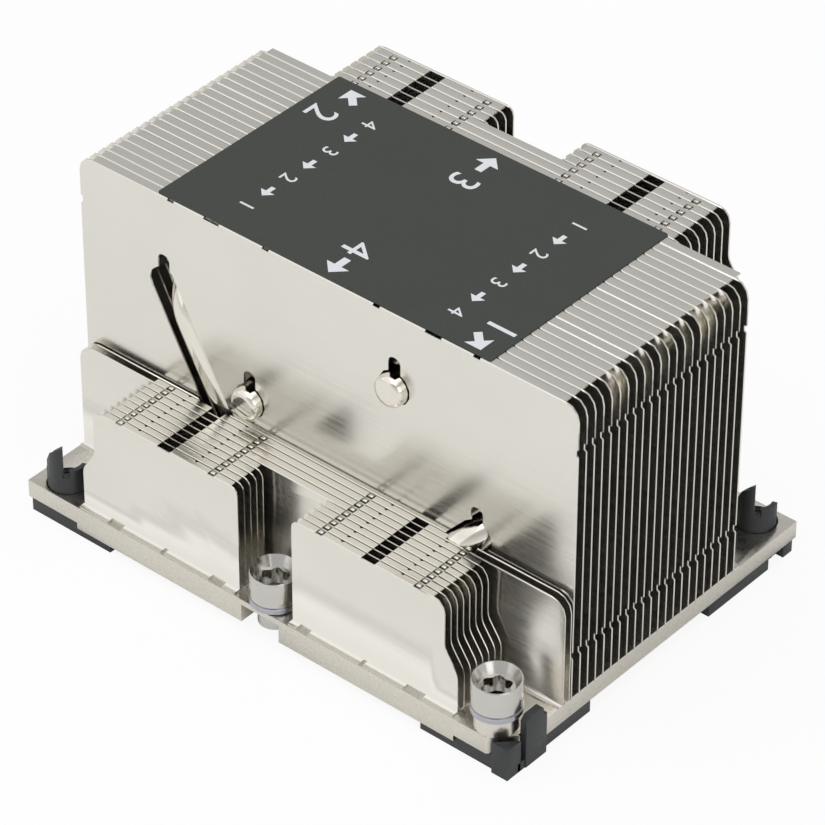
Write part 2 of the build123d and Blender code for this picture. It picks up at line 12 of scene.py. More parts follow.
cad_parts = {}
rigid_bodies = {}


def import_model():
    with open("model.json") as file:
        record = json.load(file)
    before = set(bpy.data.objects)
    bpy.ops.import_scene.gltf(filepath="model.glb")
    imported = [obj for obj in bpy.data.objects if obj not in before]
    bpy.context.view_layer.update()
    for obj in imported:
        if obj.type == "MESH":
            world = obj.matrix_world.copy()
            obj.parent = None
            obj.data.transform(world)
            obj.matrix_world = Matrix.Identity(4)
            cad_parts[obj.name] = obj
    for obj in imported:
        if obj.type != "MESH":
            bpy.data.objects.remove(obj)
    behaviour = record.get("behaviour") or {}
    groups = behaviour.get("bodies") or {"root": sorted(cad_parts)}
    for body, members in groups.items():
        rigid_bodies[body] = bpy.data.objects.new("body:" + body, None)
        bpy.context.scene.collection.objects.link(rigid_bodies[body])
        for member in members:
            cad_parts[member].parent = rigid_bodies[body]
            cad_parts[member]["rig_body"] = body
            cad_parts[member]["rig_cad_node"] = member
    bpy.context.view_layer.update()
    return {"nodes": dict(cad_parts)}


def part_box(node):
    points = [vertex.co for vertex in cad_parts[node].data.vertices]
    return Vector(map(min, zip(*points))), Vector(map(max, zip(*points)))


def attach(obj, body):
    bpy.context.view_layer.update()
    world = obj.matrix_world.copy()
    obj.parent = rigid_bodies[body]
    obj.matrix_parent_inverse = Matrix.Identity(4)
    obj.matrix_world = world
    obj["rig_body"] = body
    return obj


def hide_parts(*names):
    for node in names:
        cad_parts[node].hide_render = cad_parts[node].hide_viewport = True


bl_info = {
    "name": "Passive processor heatsink",
    "version": (1, 0, 0),
    "blender": (4, 5, 0),
    "location": "3D View > Sidebar > Heatsink",
    "description": "Folded fins, heat pipes, plate, carrier, captive nuts and label of a server heatsink",
    "category": "Object",
}

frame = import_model()
nodes = frame["nodes"]

MM = 0.001
BODY = "heatsink"
PLATE_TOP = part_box("tall_fin_01")[0].z
FIN_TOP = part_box("tall_fin_01")[1].z
PIPES = ("heat_pipe_left_outer", "heat_pipe_left_inner", "heat_pipe_right_inner", "heat_pipe_right_outer")
NUTS = ("nut_front_right", "nut_rear_left", "nut_front_middle", "nut_rear_middle")

# How near counts as the same place, when corners are merged and when they are found
MERGE = 0.002 * MM
CAD_MERGE = 0.004 * MM
NEAR = 0.03 * MM
# The largest bend that still counts as flat, and the least that counts as an edge to be rounded
FLAT = radians(0.5)
SHARP = radians(50)
# Between these a noise texture's values mostly lie
NOISE = {"From Min": 0.3, "From Max": 0.7}

# Fins: their sheet in the solids, and how far from a fin's ends its upright sheet is surely free of folds
TALL_SHEET = 0.4 * MM
LOW_SHEET = 0.35 * MM
FREE_SHEET = 4 * MM
LOW_FOLD_SHARE = 0.6
NOTCH_SLOPE = 1 / 3
# Only folded tops deeper than this are punched, in rows whose places along X are counted from the middle
PUNCHED_TOP = 1 * MM
LOCK_ROWS = (12.0 * MM, 33.1 * MM)
LOW_PIN_ROWS = (16.2 * MM, 29.2 * MM)
REAR_PIN_ROWS = (16.2 * MM, 30.4 * MM)
PIN_SIDES = 10
PIN_DEPTH = 4 * MM
TONGUE_LENGTH = 0.9 * MM
TONGUE_WIDTH = 0.6 * MM
TONGUE_FROM_FRONT = 0.75 * MM
TONGUE_ROOT = 0.2 * MM

# Pipes: the largest step of a bend, and the fewest steps
BEND_STEP = radians(6)
BEND_STEPS = 6

# Carrier: tops of the collars' prongs, each band from and to a place along X from the collar's middle,
# with the height of its corners in the solids and how far they rise
COLLAR_X = 48.4 * MM
TALL_PRONG = 13.8 * MM
SHORT_PRONG = 12.8 * MM
PRONG_TOPS = (
    (-2.0 * MM, -1.2 * MM, TALL_PRONG, -1.5 * MM),
    (-1.2 * MM, 0, TALL_PRONG, 0.8 * MM),
    (0, 1.2 * MM, TALL_PRONG, 1.8 * MM),
    (1.2 * MM, 2.0 * MM, TALL_PRONG, 2.6 * MM),
    (2.0 * MM, 3.8 * MM, SHORT_PRONG, -1.4 * MM),
)
SILL_FROM_END = 1.15 * MM
SILL_Y = 35.4 * MM
SILL_DEPTH = 1.9 * MM
SILL_LENGTH = 2.2 * MM

# Nuts: radii, and depths below the rim
NECK = 3.0 * MM
RING_FOOT = 6.35 * MM
RING_TOP = 5.3 * MM
RING_EDGE = 0.1 * MM
GROOVE = 4.2 * MM
GROOVE_TOP = 5.15 * MM
SLEEVE = 4.35 * MM
SLEEVE_FOOT = 5.0 * MM
RIM_STEPS = ((4.3 * MM, 0.1 * MM), (4.22 * MM, 0))
STAR_POINTS = 6
STAR_STEPS = 4
# How far the cutters of the recess and of the stud's hole reach past what they cut
STAR_OVER = 0.5 * MM
STUD_OVER = 0.1 * MM

# Label: digits and arrows with their middles, and the way that an arrow faces, in degrees from +X
LARGE_DIGITS = (("1", (31.6 * MM, -14.6 * MM)), ("2", (-31.0 * MM, 12.9 * MM)),
                ("3", (0.3 * MM, 13.1 * MM)), ("4", (0, -13.0 * MM)))
LARGE_ARROWS = (("1", (30.9 * MM, -19.4 * MM), -45), ("2", (-30.2 * MM, 19.8 * MM), 135),
                ("3", (0.1 * MM, 19.4 * MM), 90), ("4", (0.3 * MM, -18.6 * MM), -90))
SMALL_ROWS = (("first", "1234", 23.1 * MM), ("last", "4321", -22.4 * MM))
ROW_START = 15.6 * MM
ROW_STEP = -10.4 * MM
SHAFT_SHARE = 0.3
HEAD_SHARE = 0.5
# Height of a digit of Blender's own font at size 1
FONT_HEIGHT = 0.7

# Stage: each lamp with its place, its width and the setting that holds its power
LAMPS = (
    ("key", (-0.6, -0.65, 0.95), 1.8, "key_power"),
    ("top", (0.25, -0.35, 1.25), 1.0, "top_power"),
    ("fill", (1.0, -0.3, 0.5), 0.6, "fill_power"),
)
LAMP_TARGET = (0, 0, 0.03)
# The studio's colours in reflections, from the horizon to overhead
STUDIO = ((0.0, (0.82, 0.82, 0.82, 1)), (0.5, (0.5, 0.5, 0.5, 1)), (1.0, (0.7, 0.7, 0.71, 1)))
FLOOR_SIZE = 6
# Share of plain white in what the camera sees of the floor
FLOOR_WHITE = 0.9
LOOK_AT = (0, 0, 28 * MM)
LOOK_RIGHT = 0.31 * MM
LOOK_UP = -1.88 * MM
SENSOR = 36
CLIP = (0.05, 20)


def linear(code):
    """An sRGB hex colour as the linear values that a shader takes."""
    parts = [int(code[place:place + 2], 16) / 255 for place in (1, 3, 5)]
    return tuple(part / 12.92 if part <= 0.04045 else ((part + 0.055) / 1.055) ** 2.4 for part in parts)


def colour(name, text, code):
    """A colour setting with a default given as hex."""
    return bpy.props.FloatVectorProperty(name=name, description=text, subtype="COLOR", size=3,
                                         min=0.0, max=1.0, default=linear(code))


def length(name, text, size):
    """A length setting with its default in millimetres."""
    return bpy.props.FloatProperty(name=name, description=text, subtype="DISTANCE", unit="LENGTH",
                                   min=0.0, default=size * MM)


def power(name, text, watts):
    """A lamp's power setting."""
    return bpy.props.FloatProperty(name=name, description=text, unit="POWER", min=0.0, default=watts)


def angle(name, text, turn):
    """An angle setting with its default in degrees."""
    return bpy.props.FloatProperty(name=name, description=text, subtype="ANGLE", default=radians(turn))


class FinSettings(bpy.types.PropertyGroup):
    """Folded fins."""

    nickel: colour("Nickel", "Plating on the fins", "#EAE7DF")
    tall_strip: length("Tall strip", "Thickness of the tall fins' strip", 0.32)
    low_strip: length("Low strip", "Thickness of the low fins' strip", 0.22)
    fold_round: length("Fold round", "How far the bent edge of each fin is rounded", 0.3)
    seam: length("Seam", "How much wider the gaps between the folded tops are than in the solids", 0.14)
    pin: length("Pin", "Radius of the small holes in the folded tops' back edges", 0.32)
    tongue: length("Tongue", "Height of the small tongues in the locks", 0.16)
    notch_depth: length("Notch depth", "Depth of the small notches in the fins' ends", 0.45)
    notch_height: length("Notch height", "Height of those notches", 1.8)
    upper_notch: length("Upper notch", "From the fin's top down to its upper notch", 8.3)
    lower_notch: length("Lower notch", "From the plate up to the lower notch", 8.2)


class PipeSettings(bpy.types.PropertyGroup):
    """Heat pipes."""

    nickel: colour("Nickel", "Bright plating on the pipes", "#EFEAE0")
    radius: length("Radius", "Outer radius of the pipes", 3.0)
    bend: length("Bend", "Radius of the pipes' bends", 8.0)
    leg_end: length("Leg end", "How far the lower runs reach past the middle", 16.0)
    end_round: length("End round", "How far the closed ends are rounded", 1.1)
    sides: bpy.props.IntProperty(name="Sides", description="Sides of each pipe", min=12, default=40)


class PlateSettings(bpy.types.PropertyGroup):
    """Base plate and carrier."""

    nickel: colour("Nickel", "Satin plating on the plate", "#DEDAD0")
    nylon: colour("Nylon", "Moulded carrier", "#2C2E30")
    edge: length("Edge", "How far the plate's edges are broken", 0.2)
    moulded_edge: length("Moulded edge", "How far the carrier's edges are rounded", 0.15)
    sill: length("Sill", "Height of the carrier's low wall between a corner post and its blade", 1.8)


class NutSettings(bpy.types.PropertyGroup):
    """Captive nuts."""

    steel: colour("Steel", "Turned steel of the nuts", "#CFCDC8")
    ring: colour("Ring", "Bluish passivated ring below each nut", "#B7B7C0")
    lip: length("Lip", "Rounding of the nut's rim", 0.3)
    bore: length("Bore", "Radius of the open top at the rim", 4.1)
    floor: length("Floor", "Radius of the floor that the recess is cut in", 3.05)
    bore_depth: length("Bore depth", "From the rim down to that floor", 1.85)
    recess_depth: length("Recess depth", "Depth of the star-shaped recess", 2.4)
    stud_hole: length("Stud hole", "Radius of the hole below the recess", 1.65)
    star: length("Star", "Radius of the drive recess", 2.75)
    waist: length("Waist", "Radius of the recess between its points", 2.2)
    sides: bpy.props.IntProperty(name="Sides", description="Sides of each nut", min=16, default=64)


class LabelSettings(bpy.types.PropertyGroup):
    """Label on the fins."""

    film: colour("Film", "Matt printed film", "#3B3E39")
    ink: colour("Ink", "Digits and arrows", "#E9ECF0")
    corner: length("Corner", "Radius of the label's corners", 0.4)
    digit: length("Digit", "Height of the large digits", 5.7)
    small_digit: length("Small digit", "Height of the digits in the two rows", 3.0)
    arrow: length("Arrow", "Length of the large arrows", 4.8)
    small_arrow: length("Small arrow", "Length of the arrows in the two rows", 3.0)
    print_lift: length("Print lift", "Thickness of the print", 0.02)


class StageSettings(bpy.types.PropertyGroup):
    """Floor, light and camera."""

    floor: colour("Floor", "Pale floor", "#F9F9F8")
    key_power: power("Key", "Power of the large lamp", 4.6)
    top_power: power("Top", "Power of the upper lamp", 3.5)
    fill_power: power("Fill", "Power of the side lamp", 1.2)
    azimuth: angle("Azimuth", "Camera's angle round the part, from the front", 40.48)
    elevation: angle("Elevation", "Camera's angle above the floor", 37.50)
    roll: angle("Roll", "Camera's tilt", 0.142)
    distance: length("Distance", "From the camera to the part", 807.6)
    lens: bpy.props.FloatProperty(name="Lens", description="Focal length", unit="CAMERA", default=207.5)


def settings(name):
    """One group of settings of the scene."""
    return getattr(bpy.context.scene, "heatsink_" + name)


# Materials

def add_node(tree, kind, values=None, inputs=None, feeds=None):
    """Adds a node with its settings, sets or links its inputs, and links its outputs to what they feed."""
    node = tree.nodes.new(kind)
    for name, value in (values or {}).items():
        setattr(node, name, value)
    for name, value in (inputs or {}).items():
        if isinstance(value, bpy.types.NodeSocket):
            tree.links.new(value, node.inputs[name])
        else:
            node.inputs[name].default_value = value
    for name, socket in (feeds or {}).items():
        tree.links.new(node.outputs[name], socket)
    return node


def new_material(name, base, metallic, roughness):
    """A material with its shader, and the tree, shader and object coordinates to build on."""
    material = bpy.data.materials.new(name)
    material.use_nodes = True
    tree = material.node_tree
    shader = tree.nodes["Principled BSDF"]
    shader.inputs["Base Color"].default_value = (*base, 1)
    shader.inputs["Metallic"].default_value = metallic
    shader.inputs["Roughness"].default_value = roughness
    place = add_node(tree, "ShaderNodeTexCoord").outputs["Object"]
    return material, tree, shader, place


def per_period(*periods):
    """Scales that make a pattern's unit a real length along each axis, given in millimetres."""
    return [1 / (period * MM) for period in periods]


def shaded(base, share=1.0):
    """A base colour with each part multiplied by a share, as a socket takes it."""
    return (*(part * share for part in base), 1)


def rolled_nickel():
    """Nickel-plated aluminium strip, cold rolled and folded, shared by all fins."""
    name = "nickel_plated_strip"
    if name in bpy.data.materials:
        return bpy.data.materials[name]
    base = settings("fins").nickel
    material, tree, shader, place = new_material(name, base, 1.0, 0.2)
    # Rolling leaves streaks along the strip, which blur what it reflects more one way than the other
    along = add_node(tree, "ShaderNodeMapping", None, {"Vector": place, "Scale": per_period(14, 0.5, 0.5)})
    streaks = add_node(tree, "ShaderNodeTexNoise", None,
                       {"Vector": along.outputs["Vector"], "Scale": 1.0, "Detail": 3.0})
    add_node(tree, "ShaderNodeMapRange", None,
             {"Value": streaks.outputs["Fac"], **NOISE, "To Min": 0.19, "To Max": 0.27},
             {"Result": shader.inputs["Roughness"]})
    add_node(tree, "ShaderNodeBump", None, {"Height": streaks.outputs["Fac"], "Distance": 0.0012 * MM},
             {"Normal": shader.inputs["Normal"]})
    # The plating is a little cloudy over centimetres
    wide = add_node(tree, "ShaderNodeMapping", None, {"Vector": place, "Scale": per_period(16, 16, 16)})
    clouds = add_node(tree, "ShaderNodeTexNoise", None, {"Vector": wide.outputs["Vector"], "Scale": 1.0})
    add_node(tree, "ShaderNodeMix", {"data_type": "RGBA"},
             {0: clouds.outputs["Fac"], 6: shaded(base, 0.93), 7: shaded(base)},
             {2: shader.inputs["Base Color"]})
    return material


def bright_nickel():
    """Nickel-plated copper tube, drawn and polished."""
    base = settings("pipes").nickel
    material, tree, shader, place = new_material("bright_nickel_tube", base, 1.0, 0.1)
    # Bending leaves soft ripples, and handling leaves faint blotches in the gloss
    soft = add_node(tree, "ShaderNodeMapping", None, {"Vector": place, "Scale": per_period(2.4, 2.4, 2.4)})
    ripples = add_node(tree, "ShaderNodeTexNoise", None, {"Vector": soft.outputs["Vector"], "Scale": 1.0})
    add_node(tree, "ShaderNodeMapRange", None,
             {"Value": ripples.outputs["Fac"], **NOISE, "To Min": 0.07, "To Max": 0.17},
             {"Result": shader.inputs["Roughness"]})
    add_node(tree, "ShaderNodeMix", {"data_type": "RGBA"},
             {0: ripples.outputs["Fac"], 6: shaded(base, 0.9), 7: shaded(base)},
             {2: shader.inputs["Base Color"]})
    add_node(tree, "ShaderNodeBump", None, {"Height": ripples.outputs["Fac"], "Distance": 0.02 * MM},
             {"Normal": shader.inputs["Normal"]})
    return material


def satin_nickel():
    """Milled plate with satin nickel plating."""
    base = settings("plate").nickel
    material, tree, shader, place = new_material("satin_nickel_plate", base, 1.0, 0.3)
    # The cutter leaves fine lines along the plate, drawn coarser than they are so that they show
    along = add_node(tree, "ShaderNodeMapping", None, {"Vector": place, "Scale": per_period(22, 0.35, 0.35)})
    lines = add_node(tree, "ShaderNodeTexNoise", None, {"Vector": along.outputs["Vector"], "Scale": 1.0})
    add_node(tree, "ShaderNodeBump", None, {"Height": lines.outputs["Fac"], "Distance": 0.0015 * MM},
             {"Normal": shader.inputs["Normal"]})
    # The plating's grain varies its gloss and tone from spot to spot
    fine = add_node(tree, "ShaderNodeMapping", None, {"Vector": place, "Scale": per_period(0.9, 0.9, 0.9)})
    grain = add_node(tree, "ShaderNodeTexNoise", None,
                     {"Vector": fine.outputs["Vector"], "Scale": 1.0, "Detail": 4.0})
    add_node(tree, "ShaderNodeMapRange", None,
             {"Value": grain.outputs["Fac"], **NOISE, "To Min": 0.24, "To Max": 0.36},
             {"Result": shader.inputs["Roughness"]})
    add_node(tree, "ShaderNodeMix", {"data_type": "RGBA"},
             {0: grain.outputs["Fac"], 6: shaded(base, 0.95), 7: shaded(base)},
             {2: shader.inputs["Base Color"]})
    return material


def turned_steel(name, base):
    """Steel turned on a lathe and zinc passivated."""
    material, tree, shader, place = new_material(name, base, 1.0, 0.25)
    # The tool leaves rings round the nut, one above the other
    upward = add_node(tree, "ShaderNodeMapping", None, {"Vector": place, "Scale": per_period(60, 60, 0.3)})
    rings = add_node(tree, "ShaderNodeTexNoise", None, {"Vector": upward.outputs["Vector"], "Scale": 1.0})
    add_node(tree, "ShaderNodeMapRange", None,
             {"Value": rings.outputs["Fac"], **NOISE, "To Min": 0.16, "To Max": 0.26},
             {"Result": shader.inputs["Roughness"]})
    add_node(tree, "ShaderNodeMix", {"data_type": "RGBA"},
             {0: rings.outputs["Fac"], 6: shaded(base, 0.94), 7: shaded(base)},
             {2: shader.inputs["Base Color"]})
    add_node(tree, "ShaderNodeBump", None, {"Height": rings.outputs["Fac"], "Distance": 0.0015 * MM},
             {"Normal": shader.inputs["Normal"]})
    return material


def filled_nylon():
    """Glass-filled nylon, moulded with a fine spark-eroded grain."""
    base = settings("plate").nylon
    material, tree, shader, place = new_material("glass_filled_nylon", base, 0.0, 0.42)
    shader.inputs["IOR"].default_value = 1.53
    # The eroded grain scatters the gloss
    fine = add_node(tree, "ShaderNodeMapping", None, {"Vector": place, "Scale": per_period(0.35, 0.35, 0.35)})
    grain = add_node(tree, "ShaderNodeTexNoise", None,
                     {"Vector": fine.outputs["Vector"], "Scale": 1.0, "Detail": 3.0})
    add_node(tree, "ShaderNodeMapRange", None,
             {"Value": grain.outputs["Fac"], **NOISE, "To Min": 0.36, "To Max": 0.52},
             {"Result": shader.inputs["Roughness"]})
    add_node(tree, "ShaderNodeBump", None, {"Height": grain.outputs["Fac"], "Distance": 0.012 * MM},
             {"Normal": shader.inputs["Normal"]})
    # Short fibres make the black a little mottled
    wide = add_node(tree, "ShaderNodeMapping", None, {"Vector": place, "Scale": per_period(3, 3, 3)})
    mottle = add_node(tree, "ShaderNodeTexNoise", None,
                      {"Vector": wide.outputs["Vector"], "Scale": 1.0, "Detail": 3.0})
    add_node(tree, "ShaderNodeMix", {"data_type": "RGBA"},
             {0: mottle.outputs["Fac"], 6: shaded(base, 0.8), 7: shaded(base)},
             {2: shader.inputs["Base Color"]})
    return material


def matt_film():
    """Polyester label with a matt print."""
    base = settings("label").film
    material, tree, shader, place = new_material("matt_polyester_film", base, 0.0, 0.62)
    shader.inputs["IOR"].default_value = 1.5
    # The matt lacquer is grainy
    fine = add_node(tree, "ShaderNodeMapping", None, {"Vector": place, "Scale": per_period(0.4, 0.4, 0.4)})
    grain = add_node(tree, "ShaderNodeTexNoise", None,
                     {"Vector": fine.outputs["Vector"], "Scale": 1.0, "Detail": 3.0})
    add_node(tree, "ShaderNodeMapRange", None,
             {"Value": grain.outputs["Fac"], **NOISE, "To Min": 0.55, "To Max": 0.7},
             {"Result": shader.inputs["Roughness"]})
    add_node(tree, "ShaderNodeBump", None, {"Height": grain.outputs["Fac"], "Distance": 0.004 * MM},
             {"Normal": shader.inputs["Normal"]})
    # The solid print is slightly uneven
    wide = add_node(tree, "ShaderNodeMapping", None, {"Vector": place, "Scale": per_period(9, 9, 9)})
    cloud = add_node(tree, "ShaderNodeTexNoise", None, {"Vector": wide.outputs["Vector"], "Scale": 1.0})
    add_node(tree, "ShaderNodeMix", {"data_type": "RGBA"},
             {0: cloud.outputs["Fac"], 6: shaded(base, 0.93), 7: shaded(base)},
             {2: shader.inputs["Base Color"]})
    return material


def white_ink():
    """Screen-printed ink."""
    base = settings("label").ink
    material, tree, shader, place = new_material("screen_printed_ink", base, 0.0, 0.5)
    # The screen's mesh shows as slight unevenness of the ink
    fine = add_node(tree, "ShaderNodeMapping", None, {"Vector": place, "Scale": per_period(0.5, 0.5, 0.5)})
    mesh = add_node(tree, "ShaderNodeTexNoise", None, {"Vector": fine.outputs["Vector"], "Scale": 1.0})
    add_node(tree, "ShaderNodeMix", {"data_type": "RGBA"},
             {0: mesh.outputs["Fac"], 6: shaded(base, 0.9), 7: shaded(base)},
             {2: shader.inputs["Base Color"]})
    add_node(tree, "ShaderNodeBump", None, {"Height": mesh.outputs["Fac"], "Distance": 0.003 * MM},
             {"Normal": shader.inputs["Normal"]})
    return material


# Modelling

def clear():
    """Leaves edit mode and deselects everything."""
    if bpy.context.object and bpy.context.object.mode == "EDIT":
        bpy.ops.object.mode_set(mode="OBJECT")
    bpy.ops.object.select_all(action="DESELECT")


def pick(piece):
    """Makes one object the selected and active one."""
    clear()
    piece.hide_set(False)
    piece.select_set(True)
    bpy.context.view_layer.objects.active = piece


def copy_of(node, name):
    """A copy of a node with its own mesh, whose loose triangles are joined."""
    piece = nodes[node].copy()
    piece.data = nodes[node].data.copy()
    piece.name = name
    piece.parent = None
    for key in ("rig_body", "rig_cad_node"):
        if key in piece:
            del piece[key]
    bpy.context.scene.collection.objects.link(piece)
    pick(piece)
    bpy.ops.object.mode_set(mode="EDIT")
    bpy.ops.mesh.select_all(action="SELECT")
    bpy.ops.mesh.remove_doubles(threshold=CAD_MERGE)
    bpy.ops.mesh.dissolve_limited(angle_limit=FLAT)
    bpy.ops.object.mode_set(mode="OBJECT")
    return piece


def choose(piece, kind, test):
    """Selects, in edit mode, the vertices, edges or faces that pass a test of their corners."""
    pick(piece)
    bpy.ops.object.mode_set(mode="EDIT")
    bpy.ops.mesh.select_mode(type=kind)
    bpy.ops.mesh.select_all(action="DESELECT")
    bpy.ops.object.mode_set(mode="OBJECT")
    mesh = piece.data
    parts = {"VERT": mesh.vertices, "EDGE": mesh.edges, "FACE": mesh.polygons}[kind]
    for part in parts:
        corners = [part.co] if kind == "VERT" else [mesh.vertices[index].co for index in part.vertices]
        part.select = test(*corners)
    bpy.ops.object.mode_set(mode="EDIT")


def move(piece, test, step):
    """Moves the corners that pass a test."""
    choose(piece, "VERT", test)
    bpy.ops.transform.translate(value=step)
    bpy.ops.object.mode_set(mode="OBJECT")


def seal():
    """Merges doubled corners, turns all faces outward and leaves edit mode."""
    bpy.ops.mesh.select_all(action="SELECT")
    bpy.ops.mesh.remove_doubles(threshold=MERGE)
    bpy.ops.mesh.normals_make_consistent(inside=False)
    bpy.ops.object.mode_set(mode="OBJECT")


def raise_up(piece, height):
    """Makes a flat piece solid, upwards, or downwards with a height below zero."""
    pick(piece)
    bpy.ops.object.mode_set(mode="EDIT")
    bpy.ops.mesh.select_all(action="SELECT")
    bpy.ops.mesh.extrude_region_move(TRANSFORM_OT_translate={"value": (0, 0, height)})
    seal()


def settle(piece):
    """Applies a finished piece's place."""
    pick(piece)
    bpy.ops.object.transform_apply(location=True, rotation=True, scale=True)


def twin(piece):
    """A copy of a piece, with its own mesh."""
    pick(piece)
    bpy.ops.object.duplicate(linked=False)
    return bpy.context.object


def put(piece, place, turn=0):
    """Moves a piece from the origin to a place, turned about Z by an angle in degrees."""
    piece.location = place
    piece.rotation_euler = (0, 0, radians(turn))
    settle(piece)


def shade(piece, angle):
    """Smooth shading up to an angle in degrees."""
    pick(piece)
    bpy.ops.object.shade_smooth_by_angle(angle=radians(angle), keep_sharp_edges=False)


def dress(piece, material, body=BODY):
    """Gives a new piece its material and slot, and lets it ride on a body."""
    piece.data.materials.clear()
    piece.data.materials.append(material)
    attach(piece, body)


def boolean(piece, cutter):
    """Cuts one object out of another and removes it."""
    pick(piece)
    cut = piece.modifiers.new("cut", "BOOLEAN")
    cut.object = cutter
    cut.operation = "DIFFERENCE"
    cut.solver = "EXACT"
    bpy.ops.object.modifier_apply(modifier=cut.name)
    bpy.data.objects.remove(cutter)


def thin(piece, node, strip, seam):
    """Thins a fin's sheet, folded top and foot to the strip, and opens the seam behind its top."""
    low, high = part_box(node)
    solid = LOW_SHEET if node.startswith("low_") else TALL_SHEET
    free = [corner.co.y for corner in piece.data.vertices
            if low.z + FREE_SHEET < corner.co.z < high.z - FREE_SHEET]
    front = min(free)
    move(piece, lambda corner: abs(corner.y - front - solid) < NEAR, (0, strip - solid, 0))
    move(piece, lambda corner: abs(corner.z - high.z + solid) < NEAR, (0, 0, solid - strip))
    move(piece, lambda corner: abs(corner.z - low.z - solid) < NEAR, (0, 0, strip - solid))
    under = high.z - solid - NEAR
    back = max(corner.co.y for corner in piece.data.vertices if corner.co.z > under)
    if back > front + 2 * solid:
        move(piece, lambda corner: corner.z > under and corner.y > back - NEAR, (0, -seam, 0))
        back -= seam
    return front, back


def round_fold(piece, front, top, width):
    """Rounds the straight bent edges between a fin's sheet and its folded top."""
    def is_bend(first, second):
        level = abs(first.z - top) < NEAR and abs(second.z - top) < NEAR
        along = abs(first.y - front) < NEAR and abs(second.y - front) < NEAR
        return level and along and abs(first.x - second.x) > NEAR

    choose(piece, "EDGE", is_bend)
    bpy.ops.mesh.bevel(offset=width, offset_type="OFFSET", segments=4, affect="EDGES")
    bpy.ops.object.mode_set(mode="OBJECT")


def notch_bar(fin, side, low, high, depth):
    """A long bar with a sloping bottom that cuts one row of end notches."""
    box_low, box_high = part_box(fin)
    edge = box_high.x if side > 0 else box_low.x
    middle = (low + high) / 2
    clear()
    bpy.ops.mesh.primitive_cube_add(size=1, location=(edge, (box_low.y + box_high.y) / 2, middle))
    bar = bpy.context.object
    bar.dimensions = (2 * depth, 2 * (box_high.y - box_low.y), high - low)
    settle(bar)
    move(bar, lambda corner: corner.z < middle and side * (corner.x - edge) < 0,
         (0, 0, NOTCH_SLOPE * (high - low)))
    return bar


class HEATSINK_OT_tall_fins(bpy.types.Operator):
    """Makes the long tall fins, with rounded folds and notched ends"""

    bl_idname = "heatsink.tall_fins"
    bl_label = "Tall fins"

    def execute(self, context):
        values = settings("fins")
        material = rolled_nickel()
        for node in sorted(name for name in nodes if name.startswith("tall_fin")):
            piece = copy_of(node, node.replace("tall_fin", "folded_tall_fin"))
            for side in (-1, 1):
                for low in (FIN_TOP - values.upper_notch - values.notch_height,
                            PLATE_TOP + values.lower_notch):
                    high = low + values.notch_height
                    boolean(piece, notch_bar(node, side, low, high, values.notch_depth))
            front, back = thin(piece, node, values.tall_strip, values.seam)
            round_fold(piece, front, FIN_TOP, values.fold_round)
            shade(piece, angle=35)
            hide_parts(node)
            dress(piece, material)
        return {"FINISHED"}


class HEATSINK_OT_short_fins(bpy.types.Operator):
    """Makes the shortened tall fins at the rear and the low fins in front"""

    bl_idname = "heatsink.short_fins"
    bl_label = "Rear and low fins"

    def execute(self, context):
        values = settings("fins")
        material = rolled_nickel()
        tongue = self.tongue(values.tongue)
        for node in sorted(name for name in nodes if name.startswith(("rear_", "low_"))):
            piece = copy_of(node, "folded_" + node)
            rear = node.startswith("rear_")
            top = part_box(node)[1].z
            strip = values.tall_strip if rear else values.low_strip
            front, back = thin(piece, node, strip, values.seam)
            round_fold(piece, front, top, values.fold_round * (1 if rear else LOW_FOLD_SHARE))
            if back - front > PUNCHED_TOP:
                self.pins(piece, node, back, top, values.pin)
                self.lock(node, tongue, front + TONGUE_FROM_FRONT, top, material)
            shade(piece, angle=35)
            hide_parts(node)
            dress(piece, material)
        bpy.data.objects.remove(tongue)
        return {"FINISHED"}

    def spots(self, node, rows):
        """The places along X in a row list that a fin reaches, on both sides of the middle."""
        low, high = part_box(node)
        return [side * x for side in (-1, 1) for x in rows if low.x < side * x < high.x]

    def pins(self, piece, node, back, top, radius):
        """Cuts the small round holes in the back edge of a folded top."""
        rows = REAR_PIN_ROWS if node.startswith("rear_") else LOW_PIN_ROWS
        for x in self.spots(node, rows):
            clear()
            bpy.ops.mesh.primitive_cylinder_add(vertices=PIN_SIDES, radius=radius, depth=PIN_DEPTH,
                                                location=(x, back, top))
            boolean(piece, bpy.context.object)

    def tongue(self, rise):
        """One small bent tongue, with its root below the origin."""
        clear()
        bpy.ops.mesh.primitive_cube_add(size=1, location=(0, 0, -TONGUE_ROOT / 2))
        piece = bpy.context.object
        piece.dimensions = (TONGUE_LENGTH, TONGUE_WIDTH, TONGUE_ROOT + 2 * rise)
        settle(piece)
        choose(piece, "EDGE", lambda a, b: a.z > 0 and b.z > 0)
        bpy.ops.mesh.bevel(offset=rise, segments=2, affect="EDGES")
        bpy.ops.object.mode_set(mode="OBJECT")
        return piece

    def lock(self, node, tongue, y, top, material):
        """Stands copies of the tongue in the locks of a folded top."""
        copies = []
        for x in self.spots(node, LOCK_ROWS):
            copy = twin(tongue)
            put(copy, (x, y, top))
            copies.append(copy)
        pick(copies[0])
        for copy in copies[1:]:
            copy.select_set(True)
        if len(copies) > 1:
            bpy.ops.object.join()
        copies[0].name = "lock_tongues_" + node
        shade(copies[0], angle=40)
        dress(copies[0], material)


